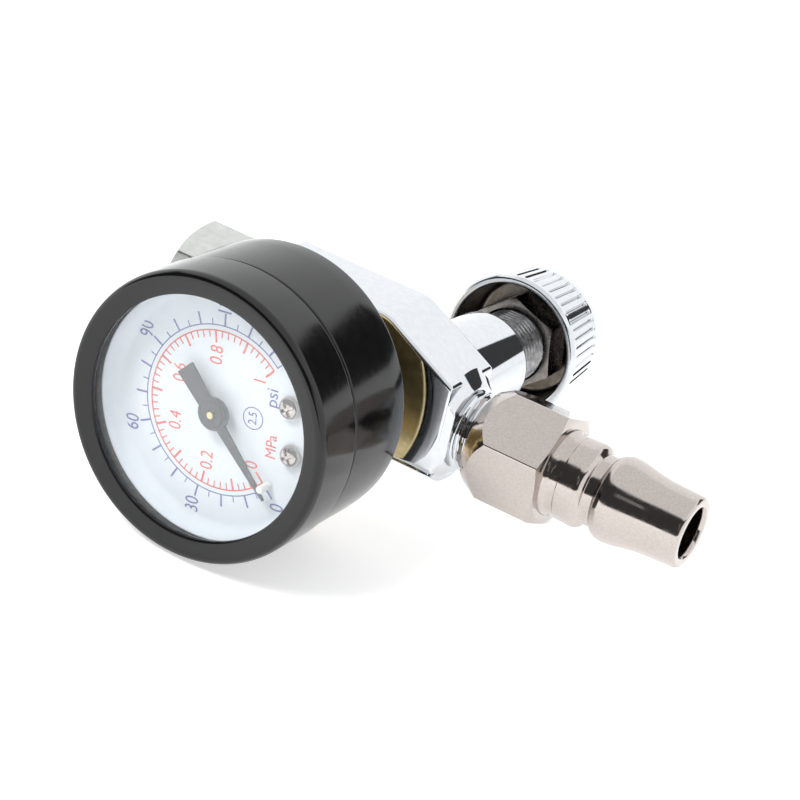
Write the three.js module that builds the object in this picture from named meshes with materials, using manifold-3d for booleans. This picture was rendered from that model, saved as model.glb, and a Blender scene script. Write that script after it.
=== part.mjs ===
// Spray-gun air pressure regulator, in millimetres: chromed body, piston regulator under a turned knob,
// swivel nut towards the gun, quick-connect plug towards the hose, and a back-mounted pressure gauge.
// Model axes: X along the flow (plug at +X), Y from the gauge (-Y) to the knob (+Y), Z up.
// The flow axis crosses the gauge axis at the model origin; the exported group moves that to the nut mouth.
import * as THREE from "three";
import { mergeVertices } from "three/addons/utils/BufferGeometryUtils.js";
import Module from "manifold-3d";

const wasm = await Module();
wasm.setup();

// ---- driving dimensions ----
const GAP = 0.3;

const BODY = { left: -11, right: 26.3, top: 15, halfThickness: 6.6, round: 9.4, bendX: 11.6 };
const slopeAt = (x) => 14.5 - 0.53 * (x - 14.4);
const SHOULDER = { from: 25.6, to: 28.3, radius: 7.5, halfWidth: 6.15 };
const SPIGOT = { radius: 6.5, neckRadius: 6.05, end: 40.4, bore: 2.4, boreY: -1.6 };

const KNOB_X = 16.2;
const KNOB = { front: 33.2, rear: 45.5, frontRadius: 12.1, rearRadius: 10.95, cup: 10.7, floor: 40.8 };
const SPLINES = 48;
const BONNET = { base: 6.9, neckEnd: 25.7, neck: 8.13, threadEnd: 36, thread: 6.1, bore: 5.2 };
const INSERT = { front: 34.1, rear: 39.6, acrossFlats: 14.4, bore: 6.4 };

const PLUG = { hexStart: 30.7, hexEnd: 44.1, acrossFlats: 17, hexTurn: 40, tip: 66.5, bore: 3.97 };
const NUT = { mouth: -26.1, end: -14.6, acrossFlats: 17, axisZ: 4.1, hexTurn: 78, bore: 6.9 };
const NIPPLE = { radius: 4.7, collar: 6.4, bore: 2.6, innerEnd: -6.2 };

const GAUGE = { radius: 22.4, case: 22.2, front: -34.9, seam: -25.5, rear: -10.9, inner: 20.2, opening: 18.75 };
const MOVEMENT = { x: 0.35, z: -0.2 };
const DIAL = { front: -28.2, thickness: 0.5, flatRadius: 17, radius: 19.6, rim: -31.2 };
const POINTER = { y: -30.1, thickness: 0.5, tip: 14.8, tail: 8.1, restAngle: -40 };
const DIAL_SCREWS = [
  { radius: 12.41, angle: 27.1 },
  { radius: 12.95, angle: -6.7 },
];
const SECTOR = { pivotZ: -9.45, tipRadius: 7.85, teeth: 15, sweep: 45 };
const BOURDON = { radius: 15.5, rootAngle: -50, sweep: 250, y: -19.6 };

const deg = THREE.MathUtils.degToRad;

// ---- solids ----
// A closed three.js geometry as a manifold solid whose faces point outwards.
function solid(geometry) {
  const plain = geometry.clone();
  plain.deleteAttribute("normal");
  plain.deleteAttribute("uv");
  const merged = mergeVertices(plain, 1e-4);
  const triVerts = new Uint32Array(merged.index.array);
  const vertProperties = merged.attributes.position.array;
  const made = new wasm.Manifold(new wasm.Mesh({ numProp: 3, vertProperties, triVerts }));
  if (made.volume() > 0) return made;
  for (let i = 0; i < triVerts.length; i += 3) {
    [triVerts[i + 1], triVerts[i + 2]] = [triVerts[i + 2], triVerts[i + 1]];
  }
  return new wasm.Manifold(new wasm.Mesh({ numProp: 3, vertProperties, triVerts }));
}

// A manifold solid as a three.js geometry.
function geometryOf(made) {
  const { numProp, numVert, vertProperties, triVerts } = made.getMesh();
  const positions = new Float32Array(numVert * 3);
  for (let i = 0; i < numVert; i += 1) {
    positions.set(vertProperties.subarray(i * numProp, i * numProp + 3), i * 3);
  }
  const geometry = new THREE.BufferGeometry();
  geometry.setAttribute("position", new THREE.BufferAttribute(positions, 3));
  geometry.setIndex(new THREE.BufferAttribute(triVerts, 1));
  geometry.computeVertexNormals();
  return geometry;
}

// A profile of [radius, along] points turned about the Y axis; it starts and ends on the axis.
function turned(profile, segments = 36) {
  const points = profile.map(([radius, along]) => new THREE.Vector2(radius, along));
  return new THREE.LatheGeometry(points, segments);
}

// A turned ring: the profile closes on itself.
const ring = (profile, segments) => turned([...profile, profile[0]], segments);

// A plain cylinder between two places on the Y axis.
const rod = (radius, from, to, segments = 24) =>
  turned([[0, from], [radius, from], [radius, to], [0, to]], segments);

// A plain tube between two places on the Y axis.
const tube = (outer, inner, from, to, segments = 24) =>
  ring([[inner, from], [outer, from], [outer, to], [inner, to]], segments);

// Lays a geometry built along Y along X instead, keeping +Y as +X.
const alongX = (geometry, y = 0, z = 0) => geometry.rotateZ(-Math.PI / 2).translate(0, y, z);

// A flat outline in X and Z, given thickness along Y between two places.
function plate(outline, from, to, bevel = 0) {
  const shape = new THREE.Shape(outline.map(([x, z]) => new THREE.Vector2(x, -z)));
  const geometry = new THREE.ExtrudeGeometry(shape, {
    depth: to - from - 2 * bevel,
    bevelEnabled: bevel > 0,
    bevelThickness: bevel,
    bevelSize: bevel,
    bevelOffset: -bevel,
    bevelSegments: 2,
    curveSegments: 8,
  });
  return geometry.translate(0, 0, bevel).rotateX(-Math.PI / 2).translate(0, from, 0);
}

// A block between two corners.
function block(from, to) {
  const size = to.map((value, i) => value - from[i]);
  const middle = to.map((value, i) => (value + from[i]) / 2);
  return new THREE.BoxGeometry(...size).translate(...middle);
}

// Points of a circular arc, in degrees, for use in profiles and outlines.
function arc(cx, cy, radius, start, end, steps = 4) {
  return Array.from({ length: steps + 1 }, (_, i) => {
    const a = deg(start + ((end - start) * i) / steps);
    return [cx + radius * Math.cos(a), cy + radius * Math.sin(a)];
  });
}

// A regular hexagon's outline, with its first corner at the given angle.
const hexagon = (acrossFlats, turn) => arc(0, 0, acrossFlats / Math.sqrt(3), turn, turn + 300, 5);

// A hexagonal bar along Y; a rim { radius, length } cones that end down from its corners to the radius.
function hexBar(acrossFlats, turn, from, to, frontRim, rearRim) {
  const corner = acrossFlats / Math.sqrt(3) + 0.2;
  const front = frontRim ? [[frontRim.radius, from], [corner, from + frontRim.length]] : [[corner, from]];
  const rear = rearRim ? [[corner, to - rearRim.length], [rearRim.radius, to]] : [[corner, to]];
  const cone = turned([[0, from], ...front, ...rear, [0, to]]);
  return solid(plate(hexagon(acrossFlats, turn), from - 1, to + 1)).intersect(solid(cone));
}

// A coil spring along Y between two places, its wire swept along a helix.
function coil(radius, wire, from, to, turns, stepsPerTurn = 10) {
  class Helix extends THREE.Curve {
    getPoint(t, target = new THREE.Vector3()) {
      const a = 2 * Math.PI * turns * t;
      const along = from + wire + (to - from - 2 * wire) * t;
      return target.set(radius * Math.cos(a), along, radius * Math.sin(a));
    }
  }
  const section = new THREE.Shape(arc(0, 0, wire, 0, 300, 5).map(([x, y]) => new THREE.Vector2(x, y)));
  const extrudePath = new Helix();
  return new THREE.ExtrudeGeometry(section, { steps: turns * stepsPerTurn, bevelEnabled: false, extrudePath });
}

// A point in the gauge's X-Z plane from a radius and an angle in degrees.
const polar = (radius, angle) => [radius * Math.cos(deg(angle)), radius * Math.sin(deg(angle))];

// ---- materials ----
const metal = (color, roughness) => new THREE.MeshStandardMaterial({ color, roughness, metalness: 1 });
const plain = (color, roughness) => new THREE.MeshStandardMaterial({ color, roughness, metalness: 0 });
const CHROME = metal(0xd9dde0, 0.06);
const NICKEL = metal(0xc9bfb6, 0.22);
const SATIN_STEEL = metal(0xb4b6b2, 0.4);
const BRASS = metal(0xb59a5e, 0.3);
const SPRING_STEEL = metal(0x8b8d90, 0.35);
const BLACK_PAINT = plain(0x141416, 0.35);
const BLACK_RUBBER = plain(0x1a1a1a, 0.8);
const DIAL_WHITE = plain(0xe6edf2, 0.55);
const CLEAR = new THREE.MeshStandardMaterial({ color: 0xf4f8fa, roughness: 0.05, transparent: true, opacity: 0.25 });
const POINTER_GREY = plain(0x2b2d2f, 0.45);
const SLEEVE_WHITE = plain(0xe8e8e2, 0.5);

const regulator = new THREE.Group();
regulator.position.set(-NUT.mouth, 0, -NUT.axisZ);

function add(name, shape, material, parent = regulator) {
  const closed = shape.isBufferGeometry ? solid(shape) : shape;
  const mesh = new THREE.Mesh(geometryOf(closed), material);
  mesh.name = name;
  parent.add(mesh);
}

// ---- body and its valve ----
// Points round the body's section in Y and Z: a circle with its two sides cut flat.
function flattenedCircle(radius, halfWidth, steps = 40) {
  return Array.from({ length: steps }, (_, i) => {
    const a = (2 * Math.PI * (i + 0.5)) / steps;
    const y = THREE.MathUtils.clamp(radius * Math.cos(a), -halfWidth, halfWidth);
    return [y, radius * Math.sin(a)];
  });
}

// The convex piece between two sections of as many points, each at its own place along X.
function loft(fromX, fromSection, toX, toSection) {
  const count = fromSection.length;
  const positions = [fromX, 0, 0, toX, 0, 0];
  for (const [y, z] of fromSection) positions.push(fromX, y, z);
  for (const [y, z] of toSection) positions.push(toX, y, z);
  const index = [];
  for (let i = 0; i < count; i += 1) {
    const a = 2 + i;
    const b = 2 + ((i + 1) % count);
    index.push(0, b, a, 1, a + count, b + count, a, b, b + count, a, b + count, a + count);
  }
  const geometry = new THREE.BufferGeometry();
  geometry.setAttribute("position", new THREE.BufferAttribute(new Float32Array(positions), 3));
  geometry.setIndex(index);
  return geometry;
}

function bodyBlock() {
  const { left, right, top, halfThickness, round } = BODY;
  const { from, to, radius, halfWidth } = SHOULDER;
  const outline = [
    ...arc(left + 3, 3 - round, 3, 180, 270),
    [right, -round],
    [right, slopeAt(right)],
    ...arc(BODY.bendX, top - 6, 6, 62, 90, 4),
    ...arc(left + 3, top - 3, 3, 90, 180),
  ];
  const slab = solid(plate(outline, -halfThickness, halfThickness, 0.7));
  const barrel = solid(alongX(rod(round, left - 2, right + 1, 48)));
  const tall = solid(block([left - 2, -10, 0], [right + 1, 10, top + 2]));
  const wide = flattenedCircle(round, halfThickness);
  const narrow = flattenedCircle(radius, halfWidth);
  const shoulder = solid(loft(from, wide, to, narrow));
  const spigot = solid(alongX(turned([
    [0, to - 1], [SPIGOT.neckRadius, to - 1], [SPIGOT.neckRadius, to + 0.8], [SPIGOT.radius, to + 1.2],
    [SPIGOT.radius, SPIGOT.end - 0.8], [SPIGOT.radius - 0.8, SPIGOT.end], [0, SPIGOT.end],
  ])));
  let made = slab.intersect(barrel.add(tall)).add(shoulder).add(spigot);
  const openings = [
    alongX(rod(SPIGOT.bore, 14, 42, 20), SPIGOT.boreY),
    rod(5.2, -8, 4.2, 32),
    rod(4.7, -5.2, 8, 32).translate(KNOB_X, 0, 0),
    rod(7.75, 1.9, 8, 40).translate(KNOB_X, 0, 0),
    alongX(rod(1.5, 2, 10, 16), 2.6),
    alongX(rod(5.0, -12, -6, 32), 0, NUT.axisZ),
    alongX(rod(2.2, -7, 0, 20), 0, NUT.axisZ - 1),
  ];
  for (const opening of openings) made = made.subtract(solid(opening));
  return made;
}

function bonnet() {
  const { base, neckEnd, neck, threadEnd, thread, bore } = BONNET;
  return ring([
    [6.4, 3.2], [7.4, 3.2], [7.4, base - GAP], [7.4, base], [neck, base], [neck, neckEnd - 1],
    [neck - 1, neckEnd], [thread, neckEnd], [thread, threadEnd - 0.6], [thread - 0.6, threadEnd],
    [bore, threadEnd], [bore, 9], [6.4, 9],
  ]).translate(KNOB_X, 0, 0);
}

add("body", bodyBlock(), CHROME);
add("bonnet", bonnet(), CHROME);
add("bonnet_seal", tube(7.5, 6.5, 2.2, 2.9, 40).translate(KNOB_X, 0, 0), BLACK_RUBBER);
add("valve_seat", tube(4.4, 1.7, 0.6, 1.6).translate(KNOB_X, 0, 0), BRASS);
add("poppet", turned([
  [0, -1.7], [3, -1.7], [3, 0.3], [1.1, 0.3], [0.8, 0.9], [0.8, 3.4], [0, 3.4],
], 24).translate(KNOB_X, 0, 0), BRASS);
add("poppet_spring", coil(2.3, 0.28, -4.9, -2, 3).translate(KNOB_X, 0, 0), SPRING_STEEL);
add("piston", turned([
  [0, 3.7], [6, 3.7], [6, 4.6], [5, 4.6], [5, 5.6], [6, 5.6], [6, 6.6], [3.2, 6.6], [3.2, 8.2], [0, 8.2],
], 40).translate(KNOB_X, 0, 0), BRASS);
add("piston_seal", ring(arc(5.65, 5.1, 0.42, 0, 315, 7), 24).translate(KNOB_X, 0, 0), BLACK_RUBBER);
add("regulating_spring", coil(4.1, 0.6, 6.9, 24, 7).translate(KNOB_X, 0, 0), SPRING_STEEL);
add("spring_seat", turned([
  [0, 24.3], [4.8, 24.3], [4.8, 26], [2.4, 26], [2.4, 27.4], [0, 27.4],
]).translate(KNOB_X, 0, 0), SATIN_STEEL);

// ---- knob ----
function knobShell() {
  const { front, rear, frontRadius, rearRadius, cup, floor } = KNOB;
  const taper = (y) => THREE.MathUtils.mapLinear(y, front, rear, frontRadius, rearRadius);
  let made = solid(turned([
    [0, floor], [cup - 0.6, floor], [cup, front + 0.3], [cup + 0.3, front], [frontRadius - 0.4, front],
    [taper(front + 0.5), front + 0.5], [taper(rear - 1), rear - 1],
    ...arc(rearRadius - 1, rear - 1, 1, 10, 90, 3), [0, rear],
  ], SPLINES));
  const width = 0.45;
  for (let i = 0; i < SPLINES; i += 1) {
    const groove = new THREE.BoxGeometry(0.6, rear - front - 4.2, width);
    groove.rotateZ(Math.atan((frontRadius - rearRadius) / (rear - front)));
    groove.translate((frontRadius + rearRadius) / 2, (front + rear) / 2 + 0.1, 0);
    groove.rotateY(deg((360 * (i + 0.5)) / SPLINES));
    made = made.subtract(solid(groove));
  }
  const socket = rod(3.2, floor - 1, floor + 2.2, 24);
  return made.subtract(solid(socket)).translate([KNOB_X, 0, 0]);
}

add("knob", knobShell(), CHROME);
add("knob_insert", hexBar(INSERT.acrossFlats, 40, INSERT.front, INSERT.rear, { radius: 7, length: 0.5 })
  .subtract(solid(rod(INSERT.bore, INSERT.front - 1, INSERT.rear + 1, 40)))
  .translate([KNOB_X, 0, 0]), SATIN_STEEL);
add("knob_pin", turned([
  [0, 27.8], [1.5, 27.8], [2.2, 28.5], [2.2, 38], [2.8, 38.4], [2.8, 42.6], [0, 42.6],
], 24).translate(KNOB_X, 0, 0), SATIN_STEEL);

// ---- plug at the hose end ----
function quickPlug() {
  const { hexStart, hexEnd, acrossFlats, hexTurn, tip, bore } = PLUG;
  const startRim = { radius: 7.5, length: 4.3 };
  const endRim = { radius: 8.3, length: 0.5 };
  const hex = hexBar(acrossFlats, 180 - hexTurn, hexStart, hexEnd, startRim, endRim);
  const nose = solid(turned([
    [0, hexEnd - 1], [7.4, hexEnd - 1], [7.4, hexEnd], [6.7, hexEnd + 0.9], [6.8, hexEnd + 4.9],
    [6.5, hexEnd + 5.8], [5.7, hexEnd + 6.4], [5.7, hexEnd + 8], [6.2, hexEnd + 8.4],
    [6.65, hexEnd + 9.1], [6.86, hexEnd + 9.9], [6.86, hexEnd + 11], [6.68, hexEnd + 12.2],
    [6.43, hexEnd + 13.4], [6.05, hexEnd + 15.2], [5.92, hexEnd + 16.8], [5.85, hexEnd + 20],
    [5.75, tip - 0.4], [5.45, tip], [0, tip],
  ]));
  const socket = solid(rod(6.85, hexStart - 1, 42, 40));
  const way = solid(rod(bore, 40, tip + 1));
  return hex.add(nose).subtract(socket).subtract(way);
}

add("quick_plug", alongX(geometryOf(quickPlug())), NICKEL);
add("plug_seal", alongX(tube(6.4, 4.2, 40.8, 41.6)), BLACK_RUBBER);

// ---- swivel nut at the gun end ----
function swivelNut() {
  const { mouth, end, acrossFlats, hexTurn, bore } = NUT;
  const rim = { radius: 8.3, length: 1.1 };
  const hex = hexBar(acrossFlats, 180 - hexTurn, mouth, end, rim, rim);
  const thread = solid(rod(bore, mouth - 1, end - 4, 40));
  const neck = solid(rod(NIPPLE.radius + 0.5, end - 5, end + 1));
  return hex.subtract(thread).subtract(neck);
}

const nutGroup = new THREE.Group();
nutGroup.position.z = NUT.axisZ;
regulator.add(nutGroup);
const collarEnd = NUT.end - 4 - GAP;
add("swivel_nut", alongX(geometryOf(swivelNut())), SATIN_STEEL, nutGroup);
add("swivel_nipple", alongX(ring([
  [NIPPLE.bore, collarEnd - 3.4], [3.6, collarEnd - 3.4], [5, collarEnd - 2], [NIPPLE.collar, collarEnd - 2],
  [NIPPLE.collar, collarEnd], [NIPPLE.radius, collarEnd], [NIPPLE.radius, NIPPLE.innerEnd],
  [NIPPLE.bore, NIPPLE.innerEnd],
])), BRASS, nutGroup);
add("nipple_seal", alongX(tube(6.2, NIPPLE.radius + GAP, -12.6, BODY.left - GAP)), BLACK_RUBBER, nutGroup);

// ---- gauge: case, glass and dial ----
function gaugeCase() {
  const { seam, rear, inner } = GAUGE;
  const outer = GAUGE.case;
  return ring([
    [4.8, rear - 1.1], [4.8, rear], [outer - 2.2, rear], ...arc(outer - 2, rear - 2, 2, 80, 0, 3),
    [outer, seam], [21, seam], [21, -29], [inner, -29], [inner, rear - 1.1],
  ], 48);
}

function gaugeBezel() {
  const { radius, seam, front, opening } = GAUGE;
  return ring([
    [21.3, seam - 0.2], [radius + 0.1, seam - 0.2], [radius, front + 0.8], [radius - 0.7, front],
    [opening + 0.5, front + 0.5], [opening, front + 0.9], [opening + 0.1, -33.3], [21.3, -33.3],
  ], 48);
}

// A shallow dish: a flat printed disc whose edge curves up to the glass.
function dial() {
  const { front, thickness, flatRadius, radius, rim } = DIAL;
  const curve = radius - flatRadius;
  let made = solid(turned([
    [0, front], [flatRadius - 0.3, front], ...arc(flatRadius - 0.3, front - curve, curve, 60, 10, 2),
    [radius - 0.4, rim], [radius, rim], [radius, front - curve + 0.3],
    ...arc(flatRadius, front - curve + thickness, curve, 20, 90, 3), [0, front + thickness],
  ], 48));
  made = made.subtract(solid(rod(0.9, front - 1, front + 2, 16)));
  for (const screw of DIAL_SCREWS) {
    const [x, z] = polar(screw.radius, screw.angle);
    made = made.subtract(solid(rod(1, front - 1, front + 2, 12).translate(x, 0, z)));
  }
  return made;
}

// A pan-head screw with a cross recess, head towards -Y.
function dialScrew({ radius, angle }) {
  const [x, z] = polar(radius, angle);
  const head = DIAL.front - GAP;
  let made = solid(turned([
    [0, head - 1.1], [0.9, head - 1.1], [1.5, head - 0.75], [1.7, head - 0.2], [1.7, head],
    [0.7, head], [0.7, -25.9], [0, -25.9],
  ], 20));
  for (const turn of [0, 90]) {
    const slot = new THREE.BoxGeometry(2, 0.9, 0.4).rotateY(deg(turn + 35)).translate(0, head - 1.1, 0);
    made = made.subtract(solid(slot));
  }
  return made.translate([x, 0, z]);
}

function pointer() {
  const { y, thickness, tip, tail, restAngle } = POINTER;
  const blade = plate([
    [-tail, -1.6], [-tail, 1.6], [-2.6, 1.3], [0, 0.9], [tip - 4, 0.42], [tip, 0.12], [tip, -0.12],
    [tip - 4, -0.42], [0, -0.9], [-2.6, -1.3],
  ], y - thickness / 2, y + thickness / 2);
  const hub = rod(2.3, y - 0.55, y + 0.55, 32);
  const hole = rod(0.75, y - 2, y + 2, 16);
  return solid(blade).add(solid(hub)).subtract(solid(hole)).rotate([0, -restAngle, 0]);
}

add("gauge_case", gaugeCase(), BLACK_PAINT);
add("gauge_bezel", gaugeBezel(), BLACK_PAINT);
add("gauge_back_plate", tube(19, 9, GAUGE.rear + GAP, GAUGE.rear + 0.8, 40), BRASS);
add("gauge_lens", rod(20.9, -33, -31.6, 48), CLEAR);
add("lens_gasket", tube(20.9, 20.3, -31.3, -29.3, 48), BLACK_RUBBER);

// The dial, the pointer and the movement sit together a little off the case's axis.
const movement = new THREE.Group();
movement.position.set(MOVEMENT.x, 0, MOVEMENT.z);
regulator.add(movement);
add("dial", dial(), DIAL_WHITE, movement);
DIAL_SCREWS.forEach((screw, i) => add(`dial_screw_${i + 1}`, dialScrew(screw), NICKEL, movement));
const [pinX, pinZ] = polar(13.2, -35.6);
add("stop_pin", rod(0.45, -30.9, DIAL.front - GAP, 12).translate(pinX, 0, pinZ), SLEEVE_WHITE, movement);
add("pointer", pointer(), POINTER_GREY, movement);

// ---- gauge: movement ----
// Spur teeth as an outline: flanks slope between a root and a tip circle.
function toothed(root, tip, count, start, pitch) {
  return Array.from({ length: count }, (_, i) => {
    const a = start + i * pitch;
    return [polar(root, a - pitch / 2), polar(root, a - pitch / 4), polar(tip, a - pitch / 8),
      polar(tip, a + pitch / 8), polar(root, a + pitch / 4)];
  }).flat();
}

function pinionArbor() {
  const teeth = plate(toothed(1, 1.48, 9, 0, 40), -23.2, -21.4);
  return solid(rod(0.55, -30.9, -16.9, 16)).add(solid(teeth));
}

// The sector starts at the zero end of its sweep, half a sweep away from the line to the pinion.
function sectorGear() {
  const rim = toothed(SECTOR.tipRadius - 0.5, SECTOR.tipRadius, SECTOR.teeth, 90 - 28, 4);
  const outline = [...rim, ...arc(0, 0, 5.4, 114, 112, 1), [-1.3, 1.5], [-1, -4.6], [1, -4.6], [1.3, 1.5],
    ...arc(0, 0, 5.4, 66, 64, 1)];
  const wheel = solid(plate(outline, -22.7, -21.9));
  const arbor = solid(rod(0.7, -25.5 - 0.8, -17.0, 16));
  return wheel.add(arbor).rotate([0, SECTOR.sweep / 2, 0]).translate([0, 0, SECTOR.pivotZ]);
}

function movementPlate(outline, from, to, arborHole, screwHoles) {
  let made = solid(plate(outline, from, to));
  const holes = [[0, 0, arborHole], [0, SECTOR.pivotZ, arborHole + 0.1], ...screwHoles];
  for (const [x, z, radius] of holes) {
    made = made.subtract(solid(rod(radius, from - 1, to + 1, 16).translate(x, 0, z)));
  }
  return made;
}

const rearOutline = [[-6, -11.4], [6, -11.4], [6, 5.6], [-6, 5.6]];
const frontOutline = [
  [-6, -11.4], [6, -11.4], [6, -4.4], [15.2, -4.4], [15.2, 7.8], [6, 7.8], [6, 5.6], [-6, 5.6],
];
const screwHoles = DIAL_SCREWS.map(({ radius, angle }) => [...polar(radius, angle), 1]);
add("pointer_arbor", pinionArbor(), BRASS, movement);
add("movement_front_plate", movementPlate(frontOutline, -26.7, -25.9, 0.9, screwHoles), BRASS, movement);
add("movement_rear_plate", movementPlate(rearOutline, -18.4, -17.6, 0.9, []), BRASS, movement);
for (const [name, x] of [["movement_pillar_1", -4.6], ["movement_pillar_2", 4.6]]) {
  add(name, rod(1, -25.6, -18.7, 16).translate(x, 0, 3.8), BRASS, movement);
}
add("sector_gear", sectorGear(), BRASS, movement);

// A flat spiral strip, its outline followed outwards on one side and back on the other.
function hairspring() {
  const turns = 3;
  const at = (t, offset) => polar(1.1 + 1.9 * t + offset, 360 * turns * t);
  const steps = Array.from({ length: 16 * turns + 1 }, (_, i) => i / (16 * turns));
  const outline = [...steps.map((t) => at(t, 0.09)), ...steps.reverse().map((t) => at(t, -0.09))];
  return plate(outline, -20.9, -20.3);
}

function bourdonTube() {
  class Sweep extends THREE.Curve {
    getPoint(t, target = new THREE.Vector3()) {
      const [x, z] = polar(BOURDON.radius, BOURDON.rootAngle + BOURDON.sweep * t);
      return target.set(x, BOURDON.y, z);
    }
  }
  const section = new THREE.Shape();
  section.absellipse(0, 0, 2.4, 0.8, 0, 2 * Math.PI);
  return new THREE.ExtrudeGeometry(section, {
    steps: 28, bevelEnabled: false, curveSegments: 4, extrudePath: new Sweep(),
  });
}

// Square-headed stem: thread in the body, square between body and case, block and foot inside the case.
function gaugeStem() {
  const half = 6;
  const pieces = [
    rod(4.8, -7, -0.8, 32),
    block([-half, GAUGE.rear + 1.1, -half], [half, -BODY.halfThickness - GAP, half]),
    rod(4.5, -13, -9.5, 32),
    block([-half, -16.6, -half], [half, GAUGE.rear - 1.1 - GAP, half]),
  ];
  const arm = [block([5, -16.6, -2.4], [17.2, -12.4, 2.4]), block([13.2, -22.4, -2], [17.2, -16, 2])];
  pieces.push(...arm.map((geometry) => geometry.rotateY(deg(-BOURDON.rootAngle + 8.6))));
  let made = pieces.map(solid).reduce((all, piece) => all.add(piece));
  made = made.subtract(solid(rod(1.2, -14, 0, 16)));
  return made;
}

add("hairspring", hairspring(), BRASS, movement);
add("bourdon_tube", bourdonTube(), BRASS);
add("gauge_stem", gaugeStem(), BRASS);
const linkAngle = 38;
const link = block([-5.6, -23.6, -0.5], [5.6, -23.1, 0.5]).rotateY(deg(linkAngle)).translate(-8.2, 0, -9.6);
add("link", link, SATIN_STEEL, movement);

export default regulator;
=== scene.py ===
"""Looks of the air pressure regulator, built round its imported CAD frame.

Shapes are drawn in millimetres in the model's own axes: X along the flow with the plug at +X, Y from the
gauge (-Y) to the knob (+Y), Z up, and the flow axis crossing the gauge axis at the origin. `at` moves them
to the frame.
"""

import math

import bmesh
import bpy
from mathutils import Matrix, Vector


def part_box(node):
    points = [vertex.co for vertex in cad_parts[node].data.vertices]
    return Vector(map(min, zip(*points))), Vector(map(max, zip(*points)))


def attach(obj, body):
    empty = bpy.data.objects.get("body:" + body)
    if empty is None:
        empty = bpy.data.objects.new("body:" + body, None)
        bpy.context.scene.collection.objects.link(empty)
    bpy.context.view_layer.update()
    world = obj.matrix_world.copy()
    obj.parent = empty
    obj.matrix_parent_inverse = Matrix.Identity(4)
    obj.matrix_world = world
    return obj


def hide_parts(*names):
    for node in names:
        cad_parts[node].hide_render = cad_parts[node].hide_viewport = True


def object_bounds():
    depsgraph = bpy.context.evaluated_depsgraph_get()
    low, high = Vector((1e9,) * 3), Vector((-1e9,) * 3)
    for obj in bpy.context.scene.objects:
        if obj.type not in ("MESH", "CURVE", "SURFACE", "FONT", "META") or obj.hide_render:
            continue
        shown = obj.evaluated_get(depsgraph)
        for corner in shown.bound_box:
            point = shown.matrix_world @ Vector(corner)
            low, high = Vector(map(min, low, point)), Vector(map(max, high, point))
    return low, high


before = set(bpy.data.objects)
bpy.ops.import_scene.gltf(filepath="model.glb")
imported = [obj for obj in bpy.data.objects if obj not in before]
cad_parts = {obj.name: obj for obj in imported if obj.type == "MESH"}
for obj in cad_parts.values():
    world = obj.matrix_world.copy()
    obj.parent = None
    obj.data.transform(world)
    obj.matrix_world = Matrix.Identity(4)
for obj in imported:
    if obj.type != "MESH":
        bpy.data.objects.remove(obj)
CAD_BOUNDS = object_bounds()
MM = 0.001


def middle(node):
    """Centre of a CAD node's box, in metres."""
    low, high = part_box(node)
    return (Vector(low) + Vector(high)) / 2


ORIGIN = Vector((middle("gauge_case").x, 0, middle("gauge_case").z))
KNOB_X = round((middle("knob").x - ORIGIN.x) / MM, 2)
NUT_Z = round((middle("swivel_nut").z - ORIGIN.z) / MM, 2)
ARBOR = (middle("pointer_arbor") - ORIGIN) / MM
DIAL_CENTRE = (ARBOR.x, ARBOR.z)

# ---- dimensions in millimetres ----
BODY_LEFT, BODY_RIGHT, BODY_TOP = -11, 26.3, 15
BODY_HALF, BODY_ROUND = 6.6, 9.4
BEND_X, BEND_RADIUS = 11.6, 6
SLOPE = -0.53
SLOPE_START = (14.4, 14.5)
SHOULDER_END, SHOULDER_RADIUS, SHOULDER_HALF = 27.7, 7.0, 6.1
SPIGOT_RADIUS, SPIGOT_END = 6.5, 40.4
PLUG_HEX, PLUG_TURN, PLUG_START, PLUG_END, PLUG_TIP = 17, 40, 30.7, 44.1, 66.5
PLUG_BORE = 3.97
NUT_HEX, NUT_TURN, NUT_MOUTH, NUT_END, NUT_BORE = 17, 78, -26.1, -14.6, 6.9
BONNET_RADIUS, BONNET_END, THREAD_RADIUS, THREAD_END = 8.13, 25.7, 6.1, 36
KNOB_FRONT, KNOB_REAR, KNOB_FRONT_RADIUS, KNOB_REAR_RADIUS = 33.2, 45.5, 12.1, 10.95
CUP_RADIUS, CUP_FLOOR = 10.9, 42
INSERT_HEX, INSERT_TURN, INSERT_START, INSERT_END, INSERT_BORE = 14.4, 40, 34.1, 39.6, 6.4
SPLINES, SPLINE_DEPTH, SPLINE_SHARE = 48, 0.42, 0.16
PIPE_PITCH, FINE_PITCH = 1.337, 1.0
CASE_RADIUS, CASE_REAR, CASE_SEAM = 22.2, -10.9, -25.5
BEZEL_RADIUS, BEZEL_FRONT, BEZEL_OPENING = 22.5, -34.9, 18.75
BACK_PLATE_RADIUS = 21.0
DIAL_FRONT, DIAL_RIM, DIAL_RADIUS = -28.2, -31.2, 19.6
RED_RING, BLUE_RING = 12.39, 13.24
POINTER_Y = -30.1
ZERO_ANGLE, REST_ANGLE = -39.6, -40
DEGREES_PER_MPA = 267.6
PSI_PER_MPA = 145.04


def at(x, y, z):
    """A point of the model, in millimetres, as a place in the frame, in metres."""
    return ORIGIN + Vector((x, y, z)) * MM


def polar(radius, angle):
    """A point round the gauge's axis, in X and Z, from a radius and an angle in degrees."""
    a = math.radians(angle)
    return radius * math.cos(a), radius * math.sin(a)


# ---- mesh building ----
def new_object(name, mesh):
    piece = bpy.data.objects.new(name, mesh)
    bpy.context.scene.collection.objects.link(piece)
    return piece


def from_bmesh(name, made, sharp=32):
    """An object from a bmesh, its faces turned outwards and smooth up to an edge angle in degrees."""
    bmesh.ops.recalc_face_normals(made, faces=made.faces)
    mesh = bpy.data.meshes.new(name)
    made.to_mesh(mesh)
    made.free()
    smooth(mesh, sharp)
    return new_object(name, mesh)


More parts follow.
